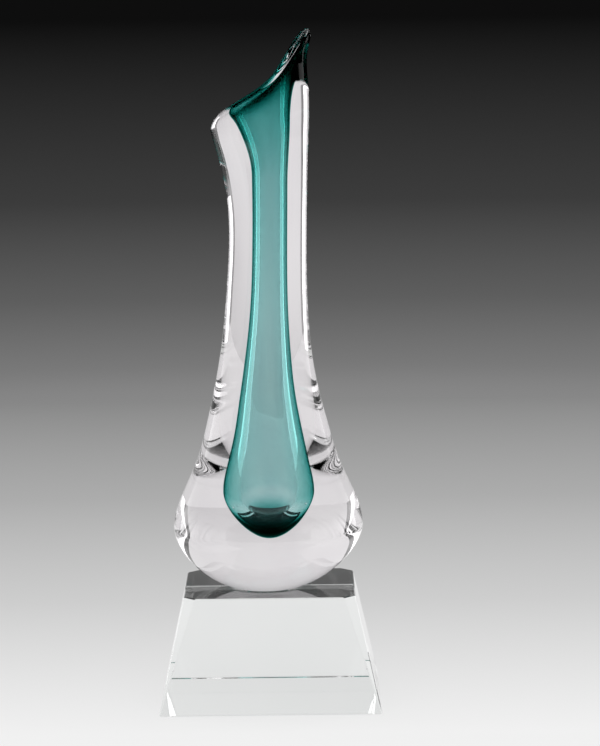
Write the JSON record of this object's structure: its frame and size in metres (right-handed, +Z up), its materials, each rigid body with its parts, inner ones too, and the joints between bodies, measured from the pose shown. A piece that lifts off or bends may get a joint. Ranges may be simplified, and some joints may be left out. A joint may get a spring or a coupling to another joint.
{
  "type": "crystal award",
  "caption": "Slender teardrop bud vase of clear glass over teal with a swept pointed lip, on a tapered rectangular crystal block.",
  "frame": {"origin": "centre of the block's underside, on the surface it stands on", "axes": "+Z up along the vase, -Y towards the front of the block, +X towards the point of the lip"},
  "size_m": [0.1198, 0.1032, 0.3644],
  "materials": {
    "optical_crystal": "cut and polished clear optical crystal",
    "clear_adhesive": "clear cured adhesive film",
    "clear_glass": "fire polished clear blown glass",
    "teal_glass": "fire polished teal blown glass"
  },
  "bodies": {
    "root": {"crystal_base": "optical_crystal", "bond_pad": "clear_adhesive", "clear_casing": "clear_glass", "teal_liner": "teal_glass"}
  },
  "joints": []
}
